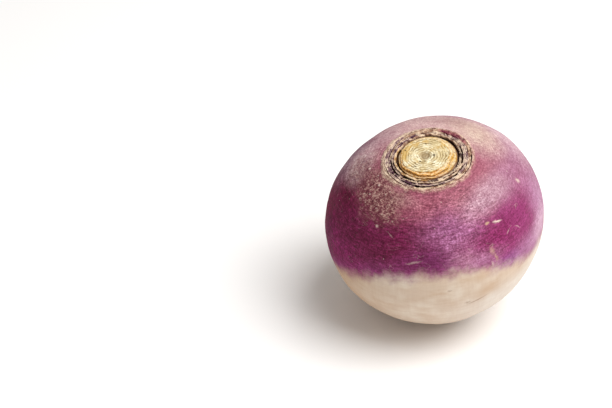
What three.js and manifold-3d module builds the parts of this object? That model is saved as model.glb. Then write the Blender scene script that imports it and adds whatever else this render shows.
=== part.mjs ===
// A purple-top turnip, topped and trimmed: the swollen root with its corky crown collar, the cut
// stem standing on the crown, and the dry bases of the leaf stalks that ringed the stem.
// Millimetres, +Z up. The turnip stands on its small flat spot, with the origin on the ground under
// the middle of its outline, and its crown leans forward, to -Y, and a little to -X.
import * as THREE from "three";
import { mergeVertices } from "three/addons/utils/BufferGeometryUtils.js";
import Module from "manifold-3d";

// The swollen root, as a distance from its middle that changes with the angle from the crown.
const ROOT_SIZE = 35.5;
const PEAR = 0.015; // longer above the middle than below it
const SQUASH = -0.075; // wider than it is tall
const SHOULDER = -0.036; // a flat top and a fuller underside
const OVAL = 0.024; // wider one way than the other
const OVAL_DIRECTION = THREE.MathUtils.degToRad(60);
const LOBE = 0.004; // three faint lobes around the girth
const LOBE_DIRECTION = THREE.MathUtils.degToRad(-50);

// How the turnip stands: its axis leans, and the low cone of the tap root, which grew straight
// down, is trimmed level with the ground.
const LEAN_FORWARD = THREE.MathUtils.degToRad(10.4);
const LEAN_LEFT = THREE.MathUtils.degToRad(7.4);
const TAP_ROOT_RISE = 1.2;
const TAP_ROOT_SPREAD = THREE.MathUtils.degToRad(9);
const TRIM = 1.3;

// The crown: a corky collar around a shallow seat.
const SEAT_RADIUS = 14.6;
const SEAT_DEPTH = 1.0; // below the shoulder, where the collar starts
const SEAT_DOME = 0.7; // the seat's middle stands this much above its edge
const COLLAR_RISE = 0.45;
const COLLAR_WIDTH = 1.1;

// The cut stem.
const STEM_FOOT_RADIUS = 10.1;
const STEM_TOP_RADIUS = 8.0;
const STEM_TOP_SHIFT = -0.9; // the top's middle stands this far to one side
const STEM_HEIGHT = 2.3;
const STEM_EDGE = 0.3; // the rounding between the top and the sloping side
const STEM_WALL = 0.5; // the upright part of the side, at the foot
const STEM_RINGS = 5; // growth rings on the cut face
const RING_DEPTH = 0.16;
const PITH_RADIUS = 1.5;
const PITH_DEPTH = 0.35;

// The leaf stalks' bases, set in rings from the outside in, each tucked inside the next.
const LEAF_BASES = 12;
const BASES_PER_RING = 3;
const OUTER_RING_RADIUS = 13.8;
const RING_PITCH = 0.95;
const RING_TURN = THREE.MathUtils.degToRad(47); // each ring starts this much further round
const LEAF_SPAN = THREE.MathUtils.degToRad(126);
const LEAF_TUCK = 0.5; // a base's start stands this much further out than its end
const LEAF_THICKNESS = 0.5;
const OUTER_LEAF_HEIGHT = 1.1;
const INNER_LEAF_HEIGHT = 1.7;
const LEAF_FLARE = 0.25; // a rim stands this much further out than its foot
const LEAF_TIP_SHARE = 0.4; // of the full thickness and height, at a base's two ends

const JOINT_GAP = 0.3; // between the root and what grows from it
const AROUND = 72; // facets around the root
const DOWN = 40; // and from the collar to the foot
const STEM_AROUND = 48;
const LEAF_FACETS = 20;
const SEAT_RINGS = 3;
const COLLAR_CROWDING = 1.25; // above 1, the skin's facets are closer together at the collar
const HALVINGS = 40; // of the range in which an angle is looked for
const SAME_POINT = 1e-3; // corners closer than this are one

const skin = material("turnip_skin", 0x8f3f6e, 0.42);
const cutStem = material("cut_stem", 0xd3b98a, 0.75);
const leafBase = material("dry_leaf_base", 0x7a5340, 0.8);

function material(name, color, roughness) {
  return new THREE.MeshStandardMaterial({ name, color, roughness, metalness: 0 });
}

// Distance from the middle of the root to its skin, at an angle from the crown.
function rootReach(fromCrown) {
  const shape =
    1 +
    PEAR * Math.cos(fromCrown) +
    SQUASH * Math.cos(2 * fromCrown) +
    SHOULDER * Math.cos(3 * fromCrown);
  return ROOT_SIZE * shape;
}

// The angle from the crown at which the smooth skin is a given radius from the axis.
function angleAtRadius(radius) {
  let low = 0;
  let high = Math.PI / 2;
  for (let i = 0; i < HALVINGS; i++) {
    const middle = (low + high) / 2;
    if (rootReach(middle) * Math.sin(middle) < radius) low = middle;
    else high = middle;
  }
  return low;
}

const collarAngle = angleAtRadius(SEAT_RADIUS);
const collarHeight = rootReach(collarAngle) * Math.cos(collarAngle);
const seatEdgeHeight = collarHeight - SEAT_DEPTH;

// Height of the seat under the stem and the leaf bases, along the root's axis.
function seatHeight(radius) {
  return seatEdgeHeight + SEAT_DOME * (1 - (radius / SEAT_RADIUS) ** 2);
}

// Radius and height of the skin, with the collar's rounded lip beside the seat.
function skinPoint(fromCrown) {
  const reach = rootReach(fromCrown);
  const outFromSeat = reach * Math.sin(fromCrown) - SEAT_RADIUS;
  const lip = fromCrown < Math.PI / 2 ? Math.exp(-((outFromSeat / COLLAR_WIDTH) ** 2)) : 0;
  const raised = reach + COLLAR_RISE * lip;
  return new THREE.Vector2(raised * Math.sin(fromCrown), raised * Math.cos(fromCrown));
}

// Makes the round forms oval and faintly lobed, as the root grew, and everything on it alike.
function growUneven(geometry) {
  const point = new THREE.Vector3();
  const positions = geometry.getAttribute("position");
  for (let i = 0; i < positions.count; i++) {
    point.fromBufferAttribute(positions, i);
    const around = Math.atan2(point.y, point.x);
    const outward = Math.hypot(point.x, point.y) / (point.length() || 1);
    const oval = OVAL * outward ** 2 * Math.cos(2 * (around - OVAL_DIRECTION));
    const lobes = LOBE * outward ** 3 * Math.cos(3 * (around - LOBE_DIRECTION));
    point.multiplyScalar(1 + oval + lobes);
    positions.setXYZ(i, point.x, point.y, point.z);
  }
  return geometry;
}

// Draws the leaning root out towards the ground, where the tap root grew.
function growTapRoot(geometry) {
  const point = new THREE.Vector3();
  const straightDown = new THREE.Vector3(0, 0, -1);
  const positions = geometry.getAttribute("position");
  for (let i = 0; i < positions.count; i++) {
    point.fromBufferAttribute(positions, i);
    const aside = point.angleTo(straightDown) / TAP_ROOT_SPREAD;
    point.setLength(point.length() + TAP_ROOT_RISE * Math.exp(-aside * aside));
    positions.setXYZ(i, point.x, point.y, point.z);
  }
  return geometry;
}

// A lathe about the root's axis, from a profile of radius and height that runs from top to foot.
function turned(profile, segments) {
  const upward = profile.slice().reverse();
  return new THREE.LatheGeometry(upward, segments).rotateX(Math.PI / 2);
}

function rootGeometry() {
  const profile = [];
  for (let i = 0; i <= SEAT_RINGS; i++) {
    const radius = (i / SEAT_RINGS) * SEAT_RADIUS;
    profile.push(new THREE.Vector2(radius, seatHeight(radius)));
  }
  for (let i = 0; i <= DOWN; i++) {
    const share = (i / DOWN) ** COLLAR_CROWDING;
    profile.push(skinPoint(collarAngle + share * (Math.PI - collarAngle)));
  }
  profile[profile.length - 1].x = 0;
  return growUneven(turned(profile, AROUND));
}

function stemGeometry() {
  const top = seatHeight(0) + STEM_HEIGHT;
  const profile = [
    new THREE.Vector2(0, top - PITH_DEPTH),
    new THREE.Vector2(PITH_RADIUS / 2, top - PITH_DEPTH),
  ];
  const ringWidth = (STEM_TOP_RADIUS - PITH_RADIUS) / STEM_RINGS;
  for (let ring = 0; ring < STEM_RINGS; ring++) {
    const radius = PITH_RADIUS + ring * ringWidth;
    profile.push(new THREE.Vector2(radius, top));
    profile.push(new THREE.Vector2(radius + ringWidth / 2, top - RING_DEPTH));
  }
  profile.push(new THREE.Vector2(STEM_TOP_RADIUS, top));
  profile.push(new THREE.Vector2(STEM_TOP_RADIUS + STEM_EDGE, top - STEM_EDGE));
  profile.push(new THREE.Vector2(STEM_FOOT_RADIUS, seatHeight(STEM_FOOT_RADIUS) + STEM_WALL));
  for (const share of [1, 0.5, 0]) {
    const radius = share * STEM_FOOT_RADIUS;
    profile.push(new THREE.Vector2(radius, seatHeight(radius) + JOINT_GAP));
  }
  return growUneven(shifted(turned(profile, STEM_AROUND), top));
}

// Moves the stem's top to one side, and less the lower it is, down to its wall.
function shifted(geometry, top) {
  const wallTop = seatHeight(STEM_FOOT_RADIUS) + STEM_WALL;
  const positions = geometry.getAttribute("position");
  for (let i = 0; i < positions.count; i++) {
    const rise = THREE.MathUtils.clamp((positions.getZ(i) - wallTop) / (top - wallTop), 0, 1);
    positions.setX(i, positions.getX(i) + STEM_TOP_SHIFT * rise);
  }
  return geometry;
}

// One leaf stalk's base: a thin upright band bent round the stem, thinner and lower at its ends.
function leafBaseGeometry(index) {
  const ring = Math.floor(index / BASES_PER_RING);
  const start = (2 * Math.PI * (index % BASES_PER_RING)) / BASES_PER_RING + ring * RING_TURN;
  const height = THREE.MathUtils.lerp(OUTER_LEAF_HEIGHT, INNER_LEAF_HEIGHT, index / (LEAF_BASES - 1));
  const band = new THREE.BoxGeometry(1, 1, 1, LEAF_FACETS, 1, 1);
  const positions = band.getAttribute("position");
  for (let i = 0; i < positions.count; i++) {
    const along = positions.getX(i) + 0.5;
    const across = positions.getY(i);
    const up = positions.getZ(i) + 0.5;
    const angle = start + along * LEAF_SPAN;
    const fullness = THREE.MathUtils.lerp(LEAF_TIP_SHARE, 1, Math.sin(Math.PI * along));
    const middle = OUTER_RING_RADIUS - RING_PITCH * ring + LEAF_TUCK * (0.5 - along);
    const radius = middle + up * LEAF_FLARE - across * LEAF_THICKNESS * fullness;
    const foot = seatHeight(middle) + JOINT_GAP;
    positions.setXYZ(i, radius * Math.cos(angle), radius * Math.sin(angle), foot + up * height * fullness);
  }
  return growUneven(band);
}

function leafBaseName(index) {
  return "leaf_base_" + String(index + 1).padStart(2, "0");
}

function named(name, geometry, finish) {
  geometry.computeVertexNormals();
  const mesh = new THREE.Mesh(geometry, finish);
  mesh.name = name;
  return mesh;
}

// The same surface with each shared corner stored once, as a solid needs.
function welded(geometry) {
  const bare = new THREE.BufferGeometry();
  bare.setAttribute("position", geometry.getAttribute("position").clone());
  bare.setIndex(geometry.index.clone());
  return mergeVertices(bare, SAME_POINT);
}

function toSolid(wasm, geometry) {
  const closed = welded(geometry);
  return new wasm.Manifold(
    new wasm.Mesh({
      numProp: 3,
      vertProperties: closed.getAttribute("position").array,
      triVerts: new Uint32Array(closed.index.array),
    }),
  );
}

function toGeometry(solid) {
  const mesh = solid.getMesh();
  const geometry = new THREE.BufferGeometry();
  geometry.setAttribute("position", new THREE.BufferAttribute(mesh.vertProperties, 3));
  geometry.setIndex(new THREE.BufferAttribute(mesh.triVerts, 1));
  return geometry;
}

// The turn from the root's own frame, axis up, to how it leans on the ground.
const lean = new THREE.Matrix4()
  .makeRotationY(-LEAN_LEFT)
  .multiply(new THREE.Matrix4().makeRotationX(LEAN_FORWARD));

const wasm = await Module();
wasm.setup();

// The leaning root, trimmed level above its lowest point, which leaves the flat spot.
const leaningRoot = growTapRoot(rootGeometry().applyMatrix4(lean));
leaningRoot.computeBoundingBox();
const box = leaningRoot.boundingBox;
const groundHeight = box.min.z + TRIM;
const GROUND_SIDE = 4 * ROOT_SIZE;
const ground = new THREE.BoxGeometry(GROUND_SIDE, GROUND_SIDE, GROUND_SIDE);
ground.translate(0, 0, groundHeight - GROUND_SIDE / 2);
const standingRoot = toSolid(wasm, leaningRoot).subtract(toSolid(wasm, ground));

const onCrown = new THREE.Group();
onCrown.applyMatrix4(lean);
onCrown.add(named("crown_stem", stemGeometry(), cutStem));
for (let index = 0; index < LEAF_BASES; index++) {
  onCrown.add(named(leafBaseName(index), leafBaseGeometry(index), leafBase));
}

const turnip = new THREE.Group();
turnip.name = "turnip";
turnip.add(named("root", toGeometry(standingRoot), skin));
turnip.add(onCrown);
turnip.position.set(-(box.min.x + box.max.x) / 2, -(box.min.y + box.max.y) / 2, -groundHeight);

export default turnip;
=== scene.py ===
"""The looks of a purple-top turnip, topped and trimmed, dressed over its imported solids.

Sizes are in millimetres and angles in degrees, unless a name says otherwise. Meshes are written in
metres. The root's own frame has its middle at the origin and its axis, up through the crown, as Z.
"""

from __future__ import annotations

import logging
from dataclasses import dataclass
from enum import Enum
from math import cos, degrees, pi, radians, sin
from typing import Any, List, Mapping, Sequence, Tuple, Union

import bpy
import numpy as np
from mathutils import Matrix, Vector, noise


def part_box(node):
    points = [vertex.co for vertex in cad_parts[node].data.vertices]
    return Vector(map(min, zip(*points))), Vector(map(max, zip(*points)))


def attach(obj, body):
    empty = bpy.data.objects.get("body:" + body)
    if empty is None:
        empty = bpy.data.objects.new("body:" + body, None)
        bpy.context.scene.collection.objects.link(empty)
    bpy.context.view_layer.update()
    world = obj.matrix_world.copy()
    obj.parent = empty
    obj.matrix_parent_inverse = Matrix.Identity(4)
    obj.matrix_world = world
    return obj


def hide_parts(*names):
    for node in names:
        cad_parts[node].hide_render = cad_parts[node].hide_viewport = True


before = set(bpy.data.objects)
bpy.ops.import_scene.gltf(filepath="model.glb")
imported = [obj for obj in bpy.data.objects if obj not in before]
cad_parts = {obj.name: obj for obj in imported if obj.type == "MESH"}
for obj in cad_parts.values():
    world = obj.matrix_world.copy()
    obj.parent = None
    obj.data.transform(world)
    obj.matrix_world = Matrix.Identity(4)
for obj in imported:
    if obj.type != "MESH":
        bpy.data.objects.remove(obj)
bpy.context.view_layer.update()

LOG = logging.getLogger("turnip")
MM = 0.001
BODY = "root"

Colour = str
Triple = Tuple[float, float, float]
Array = np.ndarray
Faces = List[Tuple[int, ...]]
Material = bpy.types.Material


def paint(code: Colour) -> List[float]:
    """Linear red, green and blue from a colour's six hex digits."""
    channels = [int(code[i : i + 2], 16) / 255 for i in (0, 2, 4)]
    return [c / 12.92 if c <= 0.04045 else ((c + 0.055) / 1.055) ** 2.4 for c in channels]


# Shader expressions


class Field:
    """A number, vector or colour that varies over a surface: one node's output."""

    def __init__(self, shader: Shader, socket: bpy.types.NodeSocket) -> None:
        """Wraps an output of one of the shader's nodes."""
        self.shader = shader
        self.socket = socket

    def out(self, name: str) -> Field:
        """Another output of the same node."""
        return Field(self.shader, self.socket.node.outputs[name])

    def __add__(self, other: Operand) -> Field:
        """Self plus other."""
        return self.shader.maths("ADD", self, other)

    def __radd__(self, other: Operand) -> Field:
        """Other plus self."""
        return self.shader.maths("ADD", other, self)

    def __sub__(self, other: Operand) -> Field:
        """Self minus other."""
        return self.shader.maths("SUBTRACT", self, other)

    def __rsub__(self, other: Operand) -> Field:
        """Other minus self."""
        return self.shader.maths("SUBTRACT", other, self)

    def __mul__(self, other: Operand) -> Field:
        """Self times other."""
        return self.shader.maths("MULTIPLY", self, other)

    def __rmul__(self, other: Operand) -> Field:
        """Other times self."""
        return self.shader.maths("MULTIPLY", other, self)

    def rise(self, low: Operand, high: Operand) -> Field:
        """A smooth step: 0 where this number is below low, and 1 where it is above high."""
        settings = {"interpolation_type": "SMOOTHSTEP", "clamp": True}
        return self.shader.node("MapRange", settings, {0: self, 1: low, 2: high})

    def between(self, low: Operand, high: Operand) -> Field:
        """One colour where this number is 0, and another where it is 1."""
        return self.shader.blend(low, high, self)

    def coat(self, over: Operand, mask: Operand, how: str = "MIX") -> Field:
        """This colour with another over it, as much as the mask says."""
        return self.shader.blend(self, over, mask, how)

    def tint(
        self, pattern: Field, dark: Triple, light: Triple, amount: Operand = 1
    ) -> Field:
        """This colour, darkened and lightened by a pattern.

        Args:
            pattern: A noise, about 0.5 on average.
            dark: What the colour is multiplied by where the noise is low.
            light: What it is multiplied by where the noise is high.
            amount: How much of the pattern shows, from 0 to 1.

        Returns:
            The patterned colour.
        """
        factor = pattern.rise(0.3, 0.7).between(dark, light)
        return self.coat(factor, amount, "MULTIPLY")


Operand = Union[Field, float, Colour, Sequence[float]]


class Shader:
    """One material, whose nodes are added by expressions on fields."""

    def __init__(self, name: str) -> None:
        """Starts an empty material.

        Args:
            name: Its name.
        """
        self.material = bpy.data.materials.new(name)
        self.material.use_nodes = True
        self.tree = self.material.node_tree
        self.tree.nodes.clear()

    def node(
        self,
        kind: str,
        settings: Mapping[str, Any] | None = None,
        inputs: Mapping[Union[int, str], Operand] | None = None,
        output: Union[int, str] = 0,
    ) -> Field:
        """Adds a node, with its settings made before its sockets are fed.

        Args:
            kind: Its type, without the word ShaderNode.
            settings: Its own properties by name.
            inputs: A value or a field for each socket, by number or name.
            output: The number or name of the output that is wanted.

        Returns:
            The wanted output.
        """
        made = self.tree.nodes.new("ShaderNode" + kind)
        for name, value in (settings or {}).items():
            setattr(made, name, value)
        for name, value in (inputs or {}).items():
            self._feed(made.inputs[name], value)
        return Field(self, made.outputs[output])

    def _feed(self, socket: bpy.types.NodeSocket, value: Operand) -> None:
        """Links a field to an input, or sets the input to a value.

        Args:
            socket: The input.
            value: A field, a number, a colour's code or a row of numbers.
        """
        if isinstance(value, Field):
            self.tree.links.new(value.socket, socket)
        elif socket.type == "VALUE":
            socket.default_value = value
        else:
            row = paint(value) if isinstance(value, str) else value
            channels = list(row) if hasattr(row, "__len__") else [row] * 3
            if socket.type == "RGBA":
                channels.append(1)
            socket.default_value = channels

    def maths(self, operation: str, *values: Operand) -> Field:
        """A Math node, or a Vector Math node where one of the values is a vector.

        Args:
            operation: What it does.
            values: What it works on.

        Returns:
            The result.
        """
        vector = any(isinstance(v, Field) and v.socket.type == "VECTOR" for v in values)
        kind = "VectorMath" if vector else "Math"
        return self.node(kind, {"operation": operation}, dict(enumerate(values)))

    def measure(self, operation: str, *values: Operand) -> Field:
        """A number that Vector Math works out from vectors, such as a length."""
        inputs = dict(enumerate(values))
        return self.node("VectorMath", {"operation": operation}, inputs, "Value")

    def blend(self, under: Operand, over: Operand, mask: Operand, how: str = "MIX") -> Field:
        """One colour under another, which shows as much as the mask says."""
        settings = {"data_type": "RGBA", "blend_type": how, "clamp_factor": True}
        return self.node("Mix", settings, {0: mask, 6: under, 7: over}, 2)

    def stored(self, name: str) -> Field:
        """A number that the mesh stores at each of its points."""
        return self.node("Attribute", {"attribute_name": name}, None, "Fac")

    def finish(
        self,
        colour: Operand,
        roughness: Operand,
        height: Field | None = None,
        specular: float = 0.5,
    ) -> Material:
        """Closes the material with its surface and its relief.

        Args:
            colour: The base colour.
            roughness: How dull it is, from 0 to 1.
            height: The relief, in millimetres.
            specular: How much it shines, where 0.5 is a common plastic.

        Returns:
            The material.
        """
        inputs = {"Base Color": colour, "Roughness": roughness, "Specular IOR Level": specular}
        if height is not None:
            relief = {"Height": height, "Distance": MM, "Strength": 1}
            inputs["Normal"] = self.node("Bump", None, relief)
        surface = self.node("BsdfPrincipled", None, inputs)
        end = self.tree.nodes.new("ShaderNodeOutputMaterial")
        self.tree.links.new(surface.socket, end.inputs["Surface"])
        return self.material


# The form of the root, and what every piece on it shares


@dataclass(frozen=True)
class Lumps:
    """Smooth random heights over a mesh: how high, about how far apart, and which pattern."""

    height: float
    size: float
    seed: float
    layers: int = 3

    def on(self, points: Array, index: int = 0) -> Array:
        """The height at each point.

        Args:
            points: The points, along the array's last axis.
            index: A number of the piece's own, so that no two pieces are alike.

        Returns:
            The heights.
        """
        seed = self.seed + index
        shift = Vector((seed, 2 * seed, 3 * seed))
        places = [Vector(p) / self.size + shift for p in points.reshape(-1, 3)]
        heights = [noise.fractal(p, 1, 2, self.layers) for p in places]
        return self.height * np.reshape(heights, points.shape[:-1])


@dataclass(frozen=True)
class RootForm:
    """The swollen root's shape, how it leans, and where it stands."""

    size: float = 35.5
    pear: float = 0.015
    squash: float = -0.075
    shoulder: float = -0.036
    oval: float = 0.024
    oval_direction: float = 60
    lobe: float = 0.004
    lobe_direction: float = -50
    seat_radius: float = 14.6
    seat_depth: float = 1
    seat_dome: float = 0.7
    collar_rise: float = 0.45
    collar_width: float = 1.1
    lean_forward: float = 10.4
    lean_left: float = 7.4
    tap_root_rise: float = 1.2
    tap_root_spread: float = 9
    trim: float = 1.3

    def reach(self, down: Array) -> Array:
        """Distance from the middle to the skin, at angles in radians from the crown."""
        waves = (self.pear, self.squash, self.shoulder)
        return self.size * (1 + sum(w * np.cos((i + 1) * down) for i, w in enumerate(waves)))

    def collar_angle(self) -> float:
        """The angle from the crown, in radians, at which the collar starts."""
        angles = np.linspace(0, pi / 2, 4001)
        return float(np.interp(self.seat_radius, self.reach(angles) * np.sin(angles), angles))

    def seat_height(self, radius: Array) -> Array:
        """Height of the seat under the stem and the leaf bases.

        Args:
            radius: Distances from the axis.

        Returns:
            The seat's height at each of them, in the root's own frame.
        """
        start = self.collar_angle()
        edge = float(self.reach(start) * cos(start)) - self.seat_depth
        return edge + self.seat_dome * (1 - (radius / self.seat_radius) ** 2)

    def uneven(self, points: Array) -> Array:
        """Makes round forms oval and faintly lobed, as the root grew.

        Args:
            points: The points of the round form, in the root's own frame.

        Returns:
            The points where the root has them.
        """
        around = np.arctan2(points[:, 1], points[:, 0])
        out = np.hypot(points[:, 0], points[:, 1]) / np.maximum(np.linalg.norm(points, axis=1), MM)
        oval = self.oval * out**2 * np.cos(2 * (around - radians(self.oval_direction)))
        lobes = self.lobe * out**3 * np.cos(3 * (around - radians(self.lobe_direction)))
        return points * (1 + oval + lobes)[:, None]


FORM = RootForm()


@dataclass(frozen=True)
class Placement:
    """Where the root's own frame lies in the row's frame."""

    turn: Array
    middle: Array

    def to_row(self, points: Array) -> Array:
        """Points of the root's own frame in the row's frame."""
        return points @ self.turn.T + self.middle


def show(name: str, data: bpy.types.ID) -> bpy.types.Object:
    """Puts an object in the scene.

    Args:
        name: Its name.
        data: Its mesh, lamp or camera.

    Returns:
        The object.
    """
    made = bpy.data.objects.new(name, data)
    bpy.context.scene.collection.objects.link(made)
    return made


def make_piece(
    name: str,
    points: Array,
    faces: Faces,
    material: Material,
    stored: Mapping[str, Array] | None = None,
) -> None:
    """Makes an object that rides on the root's body and stands for the solid of its name.

    Args:
        name: The solid's node. The piece is called the same, with "_look" after it.
        points: The mesh's points in the row's frame.
        faces: The mesh's faces.
        material: Its finish.
        stored: Numbers for the finish to read, one for each point, by name.
    """
    mesh = bpy.data.meshes.new(name + "_look")
    mesh.from_pydata((points * MM).tolist(), [], faces)
    mesh.validate()
    mesh.shade_smooth()
    mesh.materials.append(material)
    for key, values in (stored or {}).items():
        layer = mesh.attributes.new(key, "FLOAT", "POINT")
        layer.data.foreach_set("value", np.asarray(values, np.float32))
    piece = show(name + "_look", mesh)
    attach(piece, BODY)
    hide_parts(name)
    LOG.info("%s: %d points, %d faces", piece.name, len(points), len(faces))


def ring_faces(rows: int, around: int) -> Faces:
    """Faces of a closed round skin whose first and last rows are single points.

    Args:
        rows: How many rings of points lie between the two end points.
        around: How many points each ring has.

    Returns:
        The faces. Point 0 is the top, the rings follow, and the last point is the foot.
    """
    faces: Faces = []
    foot = rows * around + 1
    last = foot - around
    for j in range(around):
        k = (j + 1) % around
        faces.append((0, 1 + j, 1 + k))
        for low in range(1, last, around):
            high = low + around
            faces.append((low + j, high + j, high + k, low + k))
        faces.append((last + j, foot, last + k))
    return faces


# Studio


@dataclass(frozen=True)
class Studio:
    """A white table under one large soft lamp, and the camera, about the root's middle."""

    elevation: float = 34
    distance: float = 587.9
    aim_from_middle: Triple = (-45, -0.06, 8.17)
    lens: float = 100
    sensor: float = 36
    key_direction: Triple = (0.45, -0.17, 0.87)
    key_distance: float = 900
    key_size: float = 820
    key_watts: float = 11.6
    sky: Triple = (1, 1, 1)
    sky_strength: float = 0.4
    table_size: float = 12000
    table_drop: float = 0.02
    table_colour: Triple = (0.95, 0.93, 0.912)
    table_roughness: float = 0.9

    def build(self) -> None:
        """Lays the table, lights it and sets up the camera."""
        self.table()
        self.lights()
        self.camera()

    def camera(self) -> None:
        """Sets up the camera."""
        data = bpy.data.cameras.new("camera")
        data.lens = self.lens
        data.sensor_width = self.sensor
        aim = Vector(PLACE.middle + np.array(self.aim_from_middle)) * MM
        pitch = radians(self.elevation)
        back = Vector((0, -cos(pitch), sin(pitch)))
        camera = show("camera", data)
        camera.location = aim + back * self.distance * MM
        camera.rotation_euler = (-back).to_track_quat("-Z", "Y").to_euler()
        bpy.context.scene.camera = camera

    def lights(self) -> None:
        """Hangs the lamp and lights the room."""
        data = bpy.data.lights.new("key", "AREA")
        data.shape = "SQUARE"
        data.size = self.key_size * MM
        data.energy = self.key_watts
        key = show("key", data)
        towards = Vector(self.key_direction).normalized()
        key.location = (Vector(PLACE.middle) + towards * self.key_distance) * MM
        key.rotation_euler = towards.to_track_quat("Z", "Y").to_euler()
        world = bpy.data.worlds.new("room")
        world.use_nodes = True
        background = world.node_tree.nodes["Background"]
        background.inputs["Color"].default_value = (*self.sky, 1)
        background.inputs["Strength"].default_value = self.sky_strength
        bpy.context.scene.world = world
        bpy.context.scene.view_settings.view_transform = "Standard"

    def table(self) -> None:
        """Lays the table."""
        half = self.table_size / 2 * MM
        corners = [(-half, -half, 0), (half, -half, 0), (half, half, 0), (-half, half, 0)]
        mesh = bpy.data.meshes.new("table")
        mesh.from_pydata(corners, [], [(0, 1, 2, 3)])
        mesh.materials.append(Shader("table").finish(self.table_colour, self.table_roughness))
        table = show("table", mesh)
        table.location.z = -self.table_drop * MM


# The root


@dataclass(frozen=True)
class Root:
    """The swollen root with the seat of the crown and its corky collar."""

    around: int = 420
    seat_rows: int = 10
    wall_rows: int = 5
    collar_rows: int = 34
    collar_reach: float = 4
    skin_rows: int = 168
    relief_share: float = 1
    swell: Lumps = Lumps(0.22, 15, 3, 2)
    dimples: Lumps = Lumps(0.06, 4, 5)
    cork: Lumps = Lumps(0.22, 0.9, 7)
    cork_width: float = 1.3
    wrinkle: float = 0.05
    wrinkle_pitch: float = 1.1
    wrinkle_reach: float = 9
    wrinkle_wander: Lumps = Lumps(0.5, 6, 11, 2)
    wrinkle_mean: float = 0.6
    wrinkle_change: Lumps = Lumps(1, 5, 9, 2)

    def profile(self) -> Array:
        """Radius and height of each ring, from the middle of the seat to the foot.

        Returns:
            A row for each ring.
        """
        radius = np.linspace(0, FORM.seat_radius, self.seat_rows + 1)[1:]
        seat = np.stack([radius, FORM.seat_height(radius)], 1)
        start = FORM.collar_angle()
        step = self.collar_reach / FORM.size
        near = np.linspace(start, start + step, self.collar_rows, endpoint=False)
        far = np.linspace(start + step, pi, self.skin_rows + 1)[:-1]
        down = np.concatenate([near, far])
        out = FORM.reach(down) * np.sin(down) - FORM.seat_radius
        lip = FORM.collar_rise * np.exp(-((out / FORM.collar_width) ** 2)) * (down < pi / 2)
        raised = FORM.reach(down) + lip
        skin = np.stack([raised * np.sin(down), raised * np.cos(down)], 1)
        share = np.linspace(0, 1, self.wall_rows + 2)[1:-1, None]
        wall = seat[-1] * (1 - share) + skin[0] * share
        return np.concatenate([seat, wall, skin])

    def relief(self, points: Array) -> Array:
        """How far the round skin is pushed out by lumps, cork and wrinkles.

        Args:
            points: The skin's points, in the root's own frame.

        Returns:
            A height for each point.
        """
        out = np.hypot(points[:, 0], points[:, 1]) - FORM.seat_radius
        on_skin = np.clip(out / FORM.collar_width, 0, 1)
        collar = np.exp(-((out / (self.cork_width * FORM.collar_width)) ** 2))
        near = np.exp(-np.clip(out, 0, None) / self.wrinkle_reach) * on_skin * (points[:, 2] > 0)
        wave = (out + self.wrinkle_wander.on(points)) * 2 * pi / self.wrinkle_pitch
        strength = self.wrinkle * (self.wrinkle_mean + self.wrinkle_change.on(points))
        return self.relief_share * (
            on_skin * (self.swell.on(points) + self.dimples.on(points))
            + collar * self.cork.on(points)
            + near * np.sin(wave) * strength
        )

    def points(self) -> Array:
        """The skin's points in the root's own frame, before it is trimmed.

        Returns:
            The points: the top, the rings and the foot.
        """
        radius, height = self.profile().T[:, :, None]
        turn = np.linspace(0, 2 * pi, self.around, endpoint=False)
        rings = [radius * np.cos(turn), radius * np.sin(turn), np.repeat(height, self.around, 1)]
        top = [[0, 0, FORM.seat_height(0)]]
        foot = [[0, 0, -FORM.reach(pi)]]
        whole = np.concatenate([top, np.stack(rings, -1).reshape(-1, 3), foot])
        pushed = 1 + self.relief(whole) / np.linalg.norm(whole, axis=1)
        return FORM.uneven(whole * pushed[:, None])

    def with_tap_root(self, own: Array, turn: Array) -> Array:
        """Draws the leaning root out towards the ground, where the tap root grew.

        Args:
            own: Points in the root's own frame.
            turn: How the root leans.

        Returns:
            The points, drawn out.
        """
        straight_down = turn.T @ np.array([0, 0, -1])
        reach = np.linalg.norm(own, axis=1)
        aside = np.degrees(np.arccos(np.clip(own @ straight_down / reach, -1, 1)))
        rise = FORM.tap_root_rise * np.exp(-((aside / FORM.tap_root_spread) ** 2))
        return own * (1 + rise / reach)[:, None]

    def place(self) -> Placement:
        """Stands the smooth root where its solid stands.

        Returns:
            Where the root's own frame lies.
        """
        forward = Matrix.Rotation(radians(FORM.lean_forward), 3, "X")
        left = Matrix.Rotation(radians(-FORM.lean_left), 3, "Y")
        turn = np.array(left @ forward)
        smooth = Root(relief_share=0)
        leaning = smooth.with_tap_root(smooth.points(), turn) @ turn.T
        low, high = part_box("root")
        middle = (np.array(low) + np.array(high)) / 2 / MM
        middle -= (leaning.min(0) + leaning.max(0)) / 2
        middle[2] = -leaning[:, 2].min() - FORM.trim
        return Placement(turn, middle)

    def build(self) -> None:
        """Makes and dresses the root's skin, trimmed level where it stands."""
        own = self.with_tap_root(self.points(), PLACE.turn)
        standing = PLACE.to_row(own)
        standing[:, 2] = np.maximum(standing[:, 2], 0)
        rows = (len(own) - 2) // self.around
        material = SkinFinish().material()
        make_piece("root", standing, ring_faces(rows, self.around), material)


PLACE = Root().place()


# The crown


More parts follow.
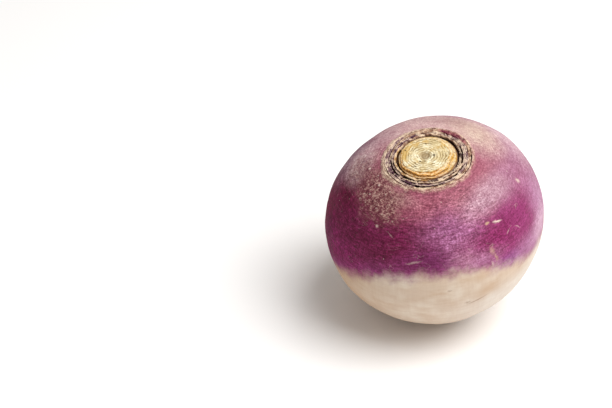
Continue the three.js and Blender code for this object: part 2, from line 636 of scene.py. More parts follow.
@dataclass(frozen=True)
class Stem:
    """The cut stem in the middle of the crown, ringed by the leaf stalks cut with it."""

    foot_radius: float = 10.1
    top_radius: float = 8
    top_shift: float = -0.9
    height: float = 2.3
    wall: float = 0.5
    back_wall: float = 1.5
    joint_gap: float = 0.3
    around: int = 256
    top_rows: int = 84
    side_rows: int = 40
    edge_waves: Lumps = Lumps(0.35, 0.7, 21)
    edge_nicks: Lumps = Lumps(0.1, 0.12, 23, 2)
    ring_pitch: float = 0.98
    ring_height: float = 0.15
    ring_sharpness: float = 1.6
    ring_wander: Lumps = Lumps(0.6, 2.6, 25)
    ring_mean: float = 0.65
    ring_limit: float = 1.2
    ring_change: Lumps = Lumps(0.9, 2.8, 27, 2)
    pith_radius: float = 1.8
    pith_depth: float = 0.35
    top_swell: Lumps = Lumps(0.16, 5, 29, 2)
    top_crumbs: Lumps = Lumps(0.04, 0.5, 31, 2)
    terraces: float = 2.4
    terrace_depth: float = 0.16
    terrace_wander: Lumps = Lumps(0.5, 5.5, 35)
    terrace_drift: float = 5
    side_crumbs: Lumps = Lumps(0.1, 1.1, 33, 2)

    def top(self) -> float:
        """Height of the cut face."""
        return FORM.seat_height(0) + self.height

    def cut_face(self, edge: Array, circle: Array) -> Tuple[Array, Array]:
        """The cut face, ringed and hollow in the middle.

        Args:
            edge: Its radius in each direction.
            circle: The unit vector in each direction.

        Returns:
            Its rings of points, and how deep in a groove between two rings each point is.
        """
        radius = edge * np.linspace(0, 1, self.top_rows + 1)[1:, None]
        flat = radius[..., None] * circle
        turns = 2 * pi * (radius + self.ring_wander.on(flat)) / self.ring_pitch
        strength = np.clip(self.ring_mean + self.ring_change.on(flat), 0, self.ring_limit)
        groove = (0.5 + 0.5 * np.cos(turns)) ** self.ring_sharpness * strength
        pith = np.exp(-((radius / self.pith_radius) ** 4))
        level = self.top() - self.ring_height * groove - self.pith_depth * pith
        level += self.top_swell.on(flat) + self.top_crumbs.on(flat)
        return flat + np.stack([0 * level + self.top_shift, 0 * level, level], -1), groove

    def stepped_side(self, edge: Array, circle: Array) -> Tuple[Array, Array]:
        """The side, in uneven steps.

        Args:
            edge: The cut face's radius in each direction.
            circle: The unit vector in each direction.

        Returns:
            Its rings of points, and how deep in a groove between two steps each point is.
        """
        share = np.linspace(0, 1, self.side_rows + 1)[1:, None] + 0 * edge
        wall = self.wall + (self.back_wall - self.wall) * np.clip(circle[:, 1], 0, 1)
        drift = np.stack([0 * share, 0 * share, self.terrace_drift * share], -1)
        wander = self.terrace_wander.on(self.foot_radius * circle + drift)
        turns = 2 * pi * (self.terraces * share + wander)
        step = self.terrace_depth * np.sin(turns) * np.sin(pi * share)
        out = np.clip(share - step, 0, 1)
        down = np.clip(share + 0.5 * step, 0, 1)
        flat = (edge + (self.foot_radius - edge) * out)[..., None] * circle
        level = self.top() + (FORM.seat_height(self.foot_radius) + wall - self.top()) * down
        level += self.top_swell.on(flat) * (1 - share) + self.side_crumbs.on(flat)
        shift = self.top_shift * (1 - share)
        return flat + np.stack([shift, 0 * level, level], -1), 0.5 + 0.5 * np.cos(turns)

    def build(self) -> None:
        """Makes and dresses the stem."""
        turn = np.linspace(0, 2 * pi, self.around, endpoint=False)
        circle = np.stack([np.cos(turn), np.sin(turn), 0 * turn], 1)
        edge = self.top_radius + self.edge_waves.on(circle) + self.edge_nicks.on(circle)
        rings = [self.cut_face(edge, circle), self.stepped_side(edge, circle)]
        for radius in (self.foot_radius, self.foot_radius / 2):
            level = FORM.seat_height(radius) + self.joint_gap
            rings.append(((radius * circle + (0, 0, level))[None], np.ones((1, self.around))))
        points, groove = (np.concatenate(part) for part in zip(*rings))
        down = np.clip((np.arange(len(points)) + 1 - self.top_rows) / self.side_rows, 0, 1)
        foot = [[0, 0, FORM.seat_height(0) + self.joint_gap]]
        own = np.concatenate([points[:1].mean(1), points.reshape(-1, 3), foot])
        stored = {
            "groove": np.concatenate([[0.5], groove.reshape(-1), [1]]),
            "side": np.concatenate([[0], np.repeat(down, self.around), [1]]),
        }
        faces = ring_faces(len(points), self.around)
        standing = PLACE.to_row(FORM.uneven(own))
        make_piece("crown_stem", standing, faces, CutStemFinish().material(), stored)


class LeafTint(Enum):
    """What a dry leaf base has turned to, by its body's two colours."""

    TAN = ("8C644E", "C6A284")
    GREY = ("765458", "B0928E")
    PLUM = ("441430", "7C4262")
    BURGUNDY = ("5E0C2A", "8A2240")
    UMBER = ("3A221C", "7A5240")
    GOLD = ("A87A44", "E0B474")


@dataclass(frozen=True)
class LeafBases:
    """The dry bases of the cut leaf stalks, in rings, each ring tucked inside the last."""

    per_ring: int = 3
    outer_radius: float = 13.8
    pitch: float = 0.95
    ring_turn: float = 47
    span: float = 126
    tuck: float = 0.5
    thickness: float = 0.8
    outer_height: float = 1.1
    inner_height: float = 1.7
    flare: float = 0.2
    tip_share: float = 0.72
    tip_roundness: float = 0.6
    first_out: float = 0.08
    first_width: float = 1.3
    fold: float = 0.9
    fold_rise: float = 0.5
    fold_in: float = 0.3
    fold_angle: float = 46
    fold_spread: float = 20
    joint_gap: float = 0.3
    along: int = 190
    wander: Lumps = Lumps(0.3, 3.2, 41)
    ragged: Lumps = Lumps(0.3, 1.3, 61)
    width_mean: float = 0.95
    width_limits: Tuple[float, float] = (0.45, 1.4)
    width_change: Lumps = Lumps(0.55, 3.6, 81)
    # From the outermost base inwards.
    tints: Tuple[LeafTint, ...] = (
        LeafTint.BURGUNDY, LeafTint.GREY, LeafTint.TAN,
        LeafTint.TAN, LeafTint.PLUM, LeafTint.GREY,
        LeafTint.PLUM, LeafTint.TAN, LeafTint.GREY,
        LeafTint.GOLD, LeafTint.UMBER, LeafTint.TAN,
    )
    # Across and up a stalk's base, in shares of its thickness and height: a split rim.
    section: Tuple[Tuple[float, float], ...] = (
        (0.5, 0), (0.5, 0.5), (0.54, 0.8), (0.46, 0.94), (0.3, 1), (0.12, 0.95),
        (0, 0.84), (-0.14, 0.93), (-0.32, 0.97), (-0.47, 0.88), (-0.52, 0.65), (-0.5, 0),
    )

    def build_one(self, index: int, material: Material) -> None:
        """Makes one stalk's base.

        Args:
            index: Its number, from 0 at the outside, ring after ring.
            material: Its finish.
        """
        share = np.linspace(0, 1, self.along)
        ring, place_in_ring = divmod(index, self.per_ring)
        start = place_in_ring * 360 / self.per_ring + ring * self.ring_turn
        angle = np.radians(start + share * self.span)
        inward = index / (len(self.tints) - 1)
        height = self.outer_height + (self.inner_height - self.outer_height) * inward
        roundness = np.sin(pi * share) ** self.tip_roundness
        fullness = self.tip_share + (1 - self.tip_share) * roundness
        middle = self.outer_radius - self.pitch * ring + self.tuck * (0.5 - share)
        line = np.stack([middle * np.cos(angle), middle * np.sin(angle), 0 * angle], 1)
        wander = self.wander.on(line, index)
        ragged = self.ragged.on(line, index)
        wide = np.clip(self.width_mean + self.width_change.on(line, index), *self.width_limits)
        if ring == 0:
            middle = middle + self.first_out
            wide = np.maximum(wide, self.first_width)
            wander = np.maximum(wander, 0)
        if self.tints[index] is LeafTint.BURGUNDY:
            aside = (np.degrees(angle) - self.fold_angle) / self.fold_spread
            folded = np.exp(-(aside**2))
            wide += self.fold * folded
            ragged += self.fold_rise * folded
            middle = middle - (self.first_out + self.fold_in) * folded
        foot = FORM.seat_height(middle) + self.joint_gap
        points = []
        for across, up in self.section:
            radius = middle + up * (self.flare + wander) + across * self.thickness * fullness * wide
            level = foot + up * height * fullness * (1 + ragged)
            points.append(np.stack([radius * np.cos(angle), radius * np.sin(angle), level], 1))
        loop = len(self.section)
        standing = PLACE.to_row(FORM.uneven(np.stack(points, 1).reshape(-1, 3)))
        last = (self.along - 1) * loop
        faces: Faces = []
        for low in range(0, last, loop):
            high = low + loop
            for j in range(loop):
                k = (j + 1) % loop
                faces.append((low + j, high + j, high + k, low + k))
        faces.append(tuple(range(loop)))
        faces.append(tuple(last + j for j in reversed(range(loop))))
        stored = {"rim": np.tile([up for _, up in self.section], self.along)}
        make_piece(f"leaf_base_{index + 1:02d}", standing, faces, material, stored)

    def build(self) -> None:
        """Makes and dresses them all."""
        materials = {tint: DryLeafFinish(tint).material() for tint in LeafTint}
        for index, tint in enumerate(self.tints):
            self.build_one(index, materials[tint])


# Finishes


@dataclass(frozen=True)
class Cloud:
    """Soft random patches: their size, how fine and rough they are, and which pattern it is.

    Where a length along is given, they are bands or streaks. Their size is then taken round the
    root, and the length from the crown to the foot.
    """

    size: float
    detail: float
    rough: float
    seed: float
    along: float = 0


@dataclass(frozen=True)
class Grains:
    """Scattered round grains: their spacing, how many there are, and the largest one's radius."""

    size: float
    share: float
    radius: float


@dataclass(frozen=True)
class Mark:
    """One soft-edged blot, dash or spot on the skin."""

    longitude: float
    down: float
    length: float
    width: float
    colour: Colour
    strength: float = 0.8
    turn: float = 0
    edge: float = 0.9


class RootShader(Shader):
    """A material on the root, which knows the place that is being shaded."""

    def __init__(self, name: str) -> None:
        """Works out the place in the root's own frame, in millimetres.

        Args:
            name: The material's name.
        """
        super().__init__(name)
        inputs = {
            "Vector": self.node("TexCoord", None, None, "Object"),
            "Location": PLACE.middle * MM,
            "Rotation": Matrix(PLACE.turn.tolist()).to_euler(),
            "Scale": MM,
        }
        self.point = self.node("Mapping", {"vector_type": "TEXTURE"}, inputs)
        x = self.node("SeparateXYZ", None, {0: self.point})
        y = x.out("Y")
        self.out = self.maths("SQRT", x * x + y * y)
        self.angle = self.maths("ARCTAN2", y, x)
        self.down = self.maths("ARCTAN2", self.out, x.out("Z")) * degrees(1)
        self.cosine = self.maths("DIVIDE", x, self.out)
        self.sine = self.maths("DIVIDE", y, self.out)
        upwards = PLACE.turn.T @ np.array([0, 0, 1])
        self.above_table = self.measure("DOT_PRODUCT", self.point, upwards) + PLACE.middle[2]

    def cloud(self, cloud: Cloud, drift: Field | None = None) -> Field:
        """Soft random patches.

        Args:
            cloud: What they are like.
            drift: How far, in millimetres, bands wander from their latitudes.

        Returns:
            The noise, about 0.5 on average.
        """
        where, scale = self.point, 1 / cloud.size
        if cloud.along:
            wide, scale = FORM.size / cloud.size, 1
            down = self.down * (radians(FORM.size) / cloud.along)
            if drift is not None:
                down = down + drift * (1 / cloud.along)
            inputs = {0: self.cosine * wide, 1: self.sine * wide, 2: down}
            where = self.node("CombineXYZ", None, inputs)
        if cloud.seed:
            where = where + (cloud.seed, -cloud.seed, cloud.seed)
        inputs = {"Vector": where, "Scale": scale, "Detail": cloud.detail, "Roughness": cloud.rough}
        return self.node("TexNoise", None, inputs)

    def ragged(self, cloud: Cloud, reach: float) -> Field:
        """The place, moved at random by up to half a reach, so that what it draws is ragged."""
        return self.point + (self.cloud(cloud).out("Color") - 0.5) * reach

    def grains(self, grains: Grains, moved: Triple | None = None) -> Field:
        """Scattered round grains.

        Args:
            grains: What they are like.
            moved: How far they are moved, so that no two sets are alike.

        Returns:
            1 on a grain and 0 between them.
        """
        where = self.point if moved is None else self.point + moved
        cells = self.node("TexVoronoi", None, {"Vector": where, "Scale": 1 / grains.size})
        chance = self.node("SeparateColor", None, {0: cells.out("Color")})
        there = chance.rise(1 - grains.share, 1 - grains.share + 0.1)
        reach = (chance.out("Green") * 0.6 + 0.4) * grains.radius
        return there * (1 - cells.rise(reach * 0.6, reach))

    def wave(self, count: int, size: float, direction: float) -> Field:
        """A wave of angles round the root, highest towards a direction."""
        turned = (self.angle - radians(direction)) * count
        return self.maths("COSINE", turned) * size

    def towards(self, direction: float, low: float, high: float) -> Field:
        """The side in a direction: 1 there and 0 opposite, between two cosines of the angle."""
        return self.wave(1, 1, direction).rise(low, high)

    def mark(self, under: Operand, mark: Mark, where: Field) -> Field:
        """Lays a mark over a colour.

        Args:
            under: The colour below.
            mark: The mark.
            where: The place, in millimetres, with any raggedness added.

        Returns:
            The colour with the mark on it.
        """
        axes = Matrix.Identity(3)
        for angle, axis in ((mark.longitude, "Z"), (mark.down, "Y"), (90 + mark.turn, "Z")):
            axes = axes @ Matrix.Rotation(radians(angle), 3, axis)
        outward = np.array([axes.col[2]])
        inputs = {
            "Vector": where,
            "Location": FORM.uneven(outward * FORM.reach(radians(mark.down)))[0],
            "Rotation": axes.to_euler(),
            "Scale": (mark.length / 2, mark.width / 2, FORM.size / 2),
        }
        local = self.node("Mapping", {"vector_type": "TEXTURE"}, inputs)
        share = 1 - self.measure("LENGTH", local).rise(1 - mark.edge, 1 + mark.edge)
        return self.blend(under, mark.colour, share * mark.strength)


@dataclass(frozen=True)
class SkinFinish:
    """The root's skin: purple on the shoulder, cream below, corky round the crown."""

    shoulder: Colour = "935060"
    # Partly pink-tan skin, partly a painted sheen along the top edge.
    shoulder_back_and_sheen: Colour = "C29E9C"
    # Deep purple: partly the belt's own colour, partly painted shade on the left side.
    belt_dark_and_shade: Colour = "671B3E"
    belt: Colour = "84305E"
    violet: Colour = "8A3A6E"
    # Pale mauve: partly paler skin, partly a painted highlight and sheen on the right.
    mauve_and_sheen: Colour = "B08C98"
    russet: Colour = "6A3A38"
    russet_dark: Colour = "4A1F2A"
    russet_net: Colour = "B48E84"
    speck: Colour = "D8C2B4"
    cream: Colour = "CBB5A0"
    pale: Colour = "D6C6B4"
    bleached: Colour = "DCD2C8"
    tan: Colour = "BC9A7A"
    brown: Colour = "8A6244"
    cork: Colour = "AE8A7A"
    cork_pale: Colour = "F2DABC"
    cork_rose: Colour = "9A6266"
    cork_dark: Colour = "80564C"
    seat: Colour = "6A4333"
    seat_light: Colour = "8A6450"
    trim: Colour = "DDD3BC"
    specular: float = 0.15

    border_middle: float = 83.1
    border_waves: Tuple[Triple, ...] = (
        (1, 4, 100),
        (2, 7.3, 2),
        (3, 2.9, -47),
        (5, 1.4, -103),
    )
    border_softness: float = 4.8
    blots: Cloud = Cloud(4.5, 4, 0.6, 12)
    blot_reach: float = 11
    jags: Cloud = Cloud(1.3, 4, 0.7, 3, 1.9)
    jag_reach: float = 1.7

    purple_clouds: Cloud = Cloud(9, 3, 0.6, 5)
    drift: Cloud = Cloud(12, 2, 0.5, 31)
    drift_reach: float = 4
    mottle: Cloud = Cloud(3, 4, 0.65, 8)
    hoops: Cloud = Cloud(8, 4, 0.75, 2, 0.7)
    fine_hoops: Cloud = Cloud(2.4, 3, 0.75, 6, 0.4)
    hairlines: Cloud = Cloud(7, 2, 0.6, 36, 0.35)
    purple_fibres: Cloud = Cloud(0.4, 2, 0.6, 9, 2.4)
    purple_specks: Cloud = Cloud(0.6, 3, 0.7, 16)

    cream_clouds: Cloud = Cloud(11, 3, 0.5, 41)
    cream_stains: Cloud = Cloud(9, 4, 0.6, 7, 4)
    cream_fibres: Cloud = Cloud(0.6, 3, 0.6, 4, 7)
    cream_rings: Cloud = Cloud(6, 4, 0.7, 19, 1.2)

    russet_edge: Cloud = Cloud(5, 4, 0.7, 17)
    russet_raggedness: float = 12
    flecks: Cloud = Cloud(1.6, 4, 0.85, 51, 0.42)
    crust: Cloud = Cloud(1.5, 3, 0.65, 53)
    grit: Cloud = Cloud(0.42, 2, 0.6, 55)
    russet_grains: Grains = Grains(1.7, 0.4, 0.33)
    sparse_grains: Grains = Grains(2.6, 0.35, 0.12)
    sparse_moved: Triple = (5, 9, 3)
    scratches: Cloud = Cloud(6, 1, 0.5, 29, 2.2)
    scratch_width: float = 0.006
    scratched: Cloud = Cloud(5, 2, 0.5, 33)
    mark_edge: Cloud = Cloud(1.2, 3, 0.7, 37)
    mark_raggedness: float = 1.6

    cork_crumbs: Cloud = Cloud(0.7, 4, 0.7, 61)
    cork_edge: Cloud = Cloud(2.5, 4, 0.65, 63)
    cork_arcs: Cloud = Cloud(5, 3, 0.7, 65, 0.45)
    cork_crust: Cloud = Cloud(0.55, 3, 0.7, 67)
    fine_rings: Cloud = Cloud(4, 2, 0.6, 71, 0.3)
    pores: Cloud = Cloud(0.5, 3, 0.6, 73)
    dull_patches: Cloud = Cloud(4, 3, 0.6, 75)

    # The large soft blots of the purple. Some are partly painted light: a highlight and sheen on
    # the right, and shade low on the left.
    big_marks: Tuple[Mark, ...] = (
        # Deep crimson low on the far left: partly the skin's own colour, partly painted shade.
        Mark(178, 73, 24, 23, "6E0436", 0.95, edge=0.8),
        Mark(-130, 60, 34, 12, belt_dark_and_shade, 0.4, edge=0.8),
        Mark(-150, 74, 24, 10, "8C2260", 0.5),
        # Dark purple on the left shoulder: partly the skin's own colour, partly painted shade.
        Mark(-173, 48, 14, 10, "5A0A2C", 0.95),
        Mark(152, 54, 19, 10, "A0848C", 0.6),
        Mark(135, 41, 18, 12, "A88490", 0.4),
        Mark(-114, 53, 14, 7, belt_dark_and_shade, 0.5),
        Mark(-80, 51, 18, 12, "A0648A", 0.6),
        Mark(-75, 61.5, 13, 8, "B07896", 0.42),
        Mark(-57, 60.5, 20, 7, "78204E", 0.7, edge=0.8),
        # Painted highlight on the right shoulder, over paler skin, in this mark and the next.
        Mark(-41, 42, 19, 8, mauve_and_sheen, 0.75),
        Mark(-22, 46, 12, 10, mauve_and_sheen, 0.3),
        # Painted sheen where the purple fades towards the right edge.
        Mark(18, 54, 30, 24, mauve_and_sheen, 0.5, edge=0.7),
        # Painted reflection: pale lilac along the right edge.
        Mark(-8, 72, 14, 15, "B284A2", 0.6, edge=0.8),
        Mark(166, 42, 14, 9, "DABCBC", 0.75),
        Mark(-66, 69, 13, 5, "AA7690", 0.5),
        Mark(-53, 77.5, 10, 5, "8A4E86", 0.6),
        Mark(-95, 63, 14, 7, "62204A", 0.65),
        Mark(-77, 65.5, 8, 5, "B88496", 0.35),
        Mark(-37, 78.5, 14, 7, "B080A0", 0.45),
        Mark(-18, 80, 14, 8, "CCA8BA", 0.65),
        Mark(33, 56, 18, 11, "CCACB0", 0.6),
        Mark(-178, 38, 13, 10, "744A58", 0.3),
        # Deep crimson low on the left: partly the skin's own colour, partly painted shade.
        Mark(-166, 73, 8, 12, "5A0838", 0.6),
        Mark(-127, 33, 11, 5, "B48E88", 0.5),
        Mark(36, 37, 18, 12, "C2A896", 0.7),
    )
    # The scars, dashes and spots.
    small_marks: Tuple[Mark, ...] = (
        Mark(-55.8, 53.2, 1.7, 0.8, tan, edge=0.6),
        Mark(-49, 55.2, 3, 0.75, speck, 0.9, -22, 0.6),
        Mark(-60, 66.5, 1.3, 2.4, tan, 0.5),
        Mark(-58.8, 70.6, 0.9, 2.2, tan, 0.55, 10),
        Mark(-62, 73, 0.8, 1.8, speck, 0.45),
        Mark(-104, 63.8, 4.4, 0.6, speck, 0.35, 14, 0.8),
        Mark(-12, 52.8, 1.3, 1.7, speck, 0.7, edge=0.8),
        Mark(178.6, 34.6, 1, 0.9, speck, edge=0.4),
        Mark(-131, 50.6, 1, 1, speck, 0.5, edge=0.5),
        Mark(-120.5, 52.2, 3.2, 0.3, speck, 0.25, -28, 0.7),
        Mark(-45.7, 62.9, 2, 0.3, speck, 0.45, 25, 0.7),
        Mark(-38.4, 65.1, 2.4, 0.3, speck, 0.45, -50, 0.7),
        Mark(-72.8, 92.3, 6, 0.6, brown, 0.6, 12),
        Mark(-78, 91.6, 1.6, 0.9, brown, 0.5),
        Mark(-86.5, 80.4, 1.4, 0.7, brown, 0.4, edge=0.7),
        Mark(-70.8, 77, 7, 3.5, tan, 0.4, 10),
        Mark(-100, 92.4, 5, 2.6, tan, 0.3),
        Mark(-67, 87, 9, 6, tan, 0.45),
    )
    # Where the shoulder is rough and grey-brown: white, as it is a mask.
    russet_places: Tuple[Mark, ...] = (
        Mark(-148, 36, 20, 13, "FFFFFF", 1, -20, 0.7),
        Mark(172, 41, 13, 9, "FFFFFF", 0.6, edge=0.7),
        Mark(-132, 40, 11, 7, "FFFFFF", 0.9, -30, 0.7),
        Mark(-135, 46, 8, 6, "FFFFFF", 0.35, edge=0.7),
        Mark(70, 40, 16, 9, "FFFFFF", 0.3, edge=0.7),
    )

    def above_border(self, skin: RootShader) -> Field:
        """How far above the smooth border between purple and cream a place is.

        Args:
            skin: The skin's shader.

        Returns:
            The height in degrees, which is negative below the border.
        """
        border: Operand = self.border_middle
        for wave in self.border_waves:
            border = skin.wave(*wave) + border
        return border - skin.down

    def purple(self, skin: RootShader, above: Field) -> Field:
        """The purple skin's colour, from the dusty crown to the violet border.

        Args:
            skin: The skin's shader.
            above: How far above the border a place is.

        Returns:
            The colour.
        """
        clouds = skin.cloud(self.purple_clouds) - 0.5
        # The belt darkens towards the left: partly deeper purple, partly painted shade.
        left = skin.wave(1, 0.5, -165) + 0.5
        belt = (left + clouds * 0.6).rise(0.25, 0.85).between(self.belt, self.belt_dark_and_shade)
        # Paler towards the back: partly pink-tan skin, partly painted sheen along the top edge.
        back = (skin.wave(1, 0.5, 84) + 0.5 + clouds * 0.5).rise(0.42, 1.05)
        shoulder = back.between(self.shoulder, self.shoulder_back_and_sheen)
        behind = skin.towards(75, 0.2, 0.9) * 9
        ripe = (skin.down - behind + clouds * 26).rise(34, 53)
        low = 1 - (above + clouds * 14).rise(2, 13)
        colour = ripe.between(shoulder, belt).coat(self.violet, low * 0.7)
        for mark in self.big_marks:
            colour = skin.mark(colour, mark, skin.point)

        calm_right = skin.towards(5, 0.3, 0.9) * 0.48
        calm_back = skin.towards(95, 0.2, 0.9) * 0.5
        amount = (1 - calm_right) * (1 - calm_back) * (1 - low * 0.4)
        hoops = skin.cloud(self.hoops, skin.cloud(self.drift) * self.drift_reach)
        hairs = skin.cloud(self.hairlines).rise(0.57, 0.68) * amount
        return (
            colour.tint(skin.cloud(self.mottle), (0.84, 0.72, 0.78), (1.16, 1.28, 1.22), amount)
            .tint(hoops, (0.83, 0.73, 0.76), (1.17, 1.27, 1.24), amount)
            .tint(skin.cloud(self.fine_hoops), (0.64, 0.52, 0.58), (1.36, 1.48, 1.42), amount)
            .coat((1.22, 1.4, 1.32), hairs, "MULTIPLY")
            .tint(skin.cloud(self.purple_fibres), (0.86, 0.78, 0.82), (1.14, 1.22, 1.18), amount)
            .tint(skin.cloud(self.purple_specks), (0.6, 0.47, 0.52), (1.4, 1.53, 1.48), amount)
        )

    def white(self, skin: RootShader) -> Field:
        """The cream skin of the lower half.

        Args:
            skin: The skin's shader.

        Returns:
            Its colour.
        """
        colour = skin.cloud(self.cream_clouds).rise(0.4, 0.65).between(self.cream, self.pale)
        right = skin.towards(-42, 0.5, 1) * skin.down.rise(84, 98)
        return (
            colour.coat(self.tan, skin.cloud(self.cream_stains).rise(0.52, 0.78) * 0.4)
            # Tan on the left of the cream: partly tan skin, partly painted warm shade.
            .coat(self.tan, skin.towards(176, 0.2, 1) * 0.8)
            .coat(self.bleached, right * 0.6)
            .tint(skin.cloud(self.cream_fibres), (0.985, 0.975, 0.97), (1.015, 1.025, 1.03))
            .tint(skin.cloud(self.cream_rings), (0.97, 0.955, 0.94), (1.03, 1.045, 1.06))
            .coat(self.tan, skin.down.rise(105, 165) * 0.3)
        )

    def russet_share(self, skin: RootShader) -> Field:
        """How rough and grey-brown the skin is.

        Args:
            skin: The skin's shader.

        Returns:
            A share from 0 to 1.
        """
        where = skin.ragged(self.russet_edge, self.russet_raggedness)
        share: Operand = "000000"
        for place in self.russet_places:
            share = skin.mark(share, place, where)
        return skin.measure("DOT_PRODUCT", share, (1 / 3, 1 / 3, 1 / 3))

    def corky(self, skin: RootShader, crumbs: Field, left: Field) -> Field:
        """The collar's colour.

        Args:
            skin: The skin's shader.
            crumbs: The cork's crumbs.
            left: The side of the collar that has dried pale.

        Returns:
            The colour.
        """
        arcs = skin.cloud(self.cork_arcs)
        ridges = (crumbs * 0.5 + arcs * 0.5).rise(0.45, 0.58)
        return (
            ridges.between(self.cork, self.cork_pale)
            .coat(self.cork_pale, left * 0.6)
            .coat(self.cork_rose, skin.towards(-42, 0.2, 0.9) * 0.4)
            .tint(skin.cloud(self.cork_crust), (0.7, 0.64, 0.62), (1.22, 1.26, 1.28))
            .coat(self.cork_dark, (1 - arcs).rise(0.5, 0.62) * 0.8)
        )

    def material(self) -> Material:
        """Makes the finish.

        Returns:
            The material.
        """
        skin = RootShader("turnip_skin")
        above = self.above_border(skin)
        blots = (skin.cloud(self.blots) - 0.5) * self.blot_reach
        jags = (skin.cloud(self.jags) - 0.5) * self.jag_reach
        purple = (above + blots + jags).rise(-self.border_softness, self.border_softness)
        russet = self.russet_share(skin)
        rough = skin.cloud(self.flecks) * 0.6 + skin.cloud(self.crust) * 0.4
        net = rough.rise(0.5, 0.57)
        hollow = 1 - rough.rise(0.42, 0.49)
        sparse = skin.grains(self.sparse_grains, self.sparse_moved)
        off_line = skin.maths("ABSOLUTE", skin.cloud(self.scratches) - 0.5)
        scratch = 1 - off_line.rise(self.scratch_width * 0.4, self.scratch_width)
        patches = skin.cloud(self.scratched).rise(0.52, 0.62)
        colour = (
            purple.between(self.white(skin), self.purple(skin, above))
            .coat(self.russet, russet * 0.75)
            .coat(self.russet_dark, russet * hollow * 0.9)
            .coat(self.russet_net, russet * net * 0.9)
            .tint(skin.cloud(self.grit), (0.58, 0.5, 0.5), (1.42, 1.48, 1.48), russet)
            .coat(self.speck, russet * skin.grains(self.russet_grains) * 0.6)
            .coat(self.speck, sparse * purple * 0.45)
            .coat(self.speck, scratch * patches * purple * 0.2)
        )
        where = skin.ragged(self.mark_edge, self.mark_raggedness)
        for mark in self.small_marks:
            colour = skin.mark(colour, mark, where)

        crumbs = skin.cloud(self.cork_crumbs)
        crown = 1 - skin.down.rise(60, 70)
        edge = skin.out + (skin.cloud(self.cork_edge) - 0.5) * 3
        left = skin.towards(158, 0.1, 0.95)
        corky = (1 - (edge - left * 0.4).rise(15, 16.25)) * crown
        seat = crumbs.rise(0.5, 0.7).between(self.seat, self.seat_light)
        colour = (
            colour.coat(self.corky(skin, crumbs, left), corky * 0.92)
            .coat(seat, (1 - skin.out.rise(13.3, 13.9)) * crown)
            .coat(self.trim, 1 - skin.above_table.rise(0.05, 0.25))
        )
        height = skin.cloud(self.fine_rings) * 0.02 + skin.cloud(self.pores) * 0.02
        height = height + scratch * patches * 0.02 + crumbs * (corky * 0.25) + net * (russet * 0.05)
        dull = skin.cloud(self.dull_patches).rise(0.3, 0.7) * 0.1 + 0.42
        dull = dull + skin.towards(172, 0.2, 0.9) * 0.3 + russet * 0.15 + corky * 0.3
        return skin.finish(colour, dull, height, self.specular)


@dataclass(frozen=True)
class CutStemFinish:
    """The dried cut face of the stem, with its rings, pits and ochre side."""

    flesh: Colour = "D0BC8E"
    flesh_pale: Colour = "ECE2C2"
    groove: Colour = "866A3C"
    pith: Colour = "8A7250"
    pit: Colour = "4E3A1C"
    ochre: Colour = "C4983E"
    ochre_deep: Colour = "DA9628"
    tan: Colour = "CEB284"
    bark: Colour = "7A4C40"
    # Painted shade: near black at the foot of the stem's side, down in the gap among the leaf
    # bases.
    painted_gap_shade: Colour = "24110E"
    roughness: float = 0.62
    specular: float = 0.3
    clouds: Cloud = Cloud(2.6, 4, 0.7, 5)
    arcs: Cloud = Cloud(2.6, 3, 0.7, 11, 0.5)
    crumbs: Cloud = Cloud(0.7, 3, 0.7, 7)
    stains: Cloud = Cloud(4, 3, 0.6, 13)
    pits: Grains = Grains(2.3, 0.55, 0.3)

    def material(self) -> Material:
        """Makes the finish.

        Returns:
            The material.
        """
        stem = RootShader("cut_stem")
        groove = stem.stored("groove")
        side = stem.stored("side")
        clouds, crumbs = stem.cloud(self.clouds), stem.cloud(self.crumbs)
        stains = stem.cloud(self.stains)
        away = stem.measure("LENGTH", (stem.point - (Stem.top_shift, 0, 0)) * (1, 1, 0))
        far = stains + stem.wave(1, 0.07, 80) + away.rise(5.6, 7.2) * 0.1
        core = 1 - (away + (clouds - 0.5) * 2.4).rise(1.1, 2.6)
        pits = stem.grains(self.pits)
        face = (
            clouds.rise(0.42, 0.62).between(self.flesh, self.flesh_pale)
            .coat(self.groove, groove.rise(0.1, 0.85) * 0.85)
            .tint(crumbs, (0.78, 0.74, 0.66), (1.16, 1.18, 1.22))
            .coat(self.ochre, far.rise(0.56, 0.68) * 0.6)
            .coat(self.pith, core * 0.75)
            .coat(self.pit, pits * 0.8)
        )
        low_left = (stem.wave(1, 1, -125) + (stains - 0.5) * 1.5).rise(0.2, 0.9)
        lower = (side + (clouds - 0.5) * 0.6).rise(0.62, 0.95)
        rind = (
            clouds.rise(0.38, 0.56).between(self.ochre, self.tan)
            .coat(self.ochre_deep, low_left * 0.6)
            .tint(stem.cloud(self.arcs), (0.7, 0.61, 0.54), (1.28, 1.3, 1.3))
            .tint(crumbs, (0.8, 0.76, 0.72), (1.18, 1.2, 1.24))
            .coat(self.bark, groove.rise(0.6, 1) * 0.35)
            .coat(self.flesh_pale, (1 - groove + crumbs).rise(1.3, 1.5) * 0.5)
            .coat(self.bark, lower * 0.75)
        )
        slope = (side + (clouds - 0.5) * 0.2).rise(0.02, 0.12)
        # The near black at the foot of the side is painted shade.
        colour = slope.between(face, rind).coat(self.painted_gap_shade, side.rise(0.9, 1))
        height = crumbs * 0.12 - pits * 0.15 - core * 0.1
        return stem.finish(colour, self.roughness, height, self.specular)


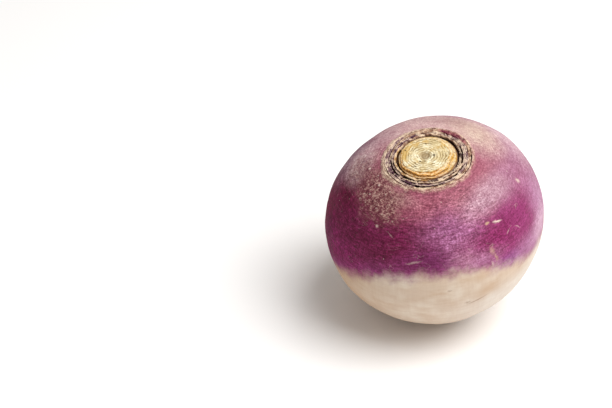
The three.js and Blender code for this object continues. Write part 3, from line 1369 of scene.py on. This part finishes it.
@dataclass(frozen=True)
class DryLeafFinish:
    """The papery base of a cut leaf stalk."""

    tint: LeafTint
    # Painted shade: near black low on each base, down between the rings; the next colour is a
    # lighter painted shade on the outer side of the outermost ring.
    foot: Colour = "2C1612"
    painted_foot_shade_outside: Colour = "8A604A"
    torn: Colour = "E2CBAE"
    stain: Colour = "5A3430"
    roughness: float = 0.62
    specular: float = 0.35
    clouds: Cloud = Cloud(2.2, 4, 0.65, 3)
    stains: Cloud = Cloud(4, 3, 0.6, 5)
    fibres: Cloud = Cloud(3, 3, 0.7, 9, 0.3)
    torn_share: float = 0.75
    torn_share_of_fold: float = 0.2

    def material(self) -> Material:
        """Makes the finish.

        Returns:
            The material.
        """
        leaf = RootShader("dry_leaf_" + self.tint.name.lower())
        rim = leaf.stored("rim")
        clouds = leaf.cloud(self.clouds)
        patches = clouds.rise(0.42, 0.6)
        stained = leaf.cloud(self.stains).rise(0.52, 0.66)
        body = patches.between(*self.tint.value).coat(self.stain, stained * 0.6)
        torn_share = self.torn_share
        if self.tint is LeafTint.BURGUNDY:
            fold = leaf.towards(LeafBases.fold_angle, 0.86, 0.95)
            body = fold.between(patches.between(*LeafTint.TAN.value), body)
            torn_share = self.torn_share_of_fold
        fibres = leaf.cloud(self.fibres)
        body = body.tint(fibres, (0.66, 0.6, 0.6), (1.3, 1.36, 1.36))
        # Painted shade at each base's foot, lighter on the outside and reaching higher on the
        # left-front side.
        outside = (leaf.out + (clouds - 0.5) * 1.2).rise(13.6, 14.1)
        foot = outside.between(self.foot, self.painted_foot_shade_outside)
        shade = (leaf.wave(1, 1, -140) + (clouds - 0.5) * 1.5).rise(0.1, 0.9) * 0.42
        colour = (rim - shade).rise(0.05, 0.6).between(foot, body)
        torn = (rim + (clouds - 0.5) * 0.9 + (fibres - 0.5) * 0.5).rise(0.88, 1)
        colour = colour.coat(self.torn, torn * torn_share)
        height = fibres * 0.08 + clouds * 0.05
        return leaf.finish(colour, self.roughness, height, self.specular)


def main() -> None:
    """Builds the turnip and its studio, and reports each piece."""
    logging.basicConfig(level=logging.INFO, format="%(name)s: %(message)s")
    LOG.info("root's middle at %s mm", np.round(PLACE.middle, 2).tolist())
    Root().build()
    Stem().build()
    LeafBases().build()
    Studio().build()


if __name__ == "__main__":
    main()
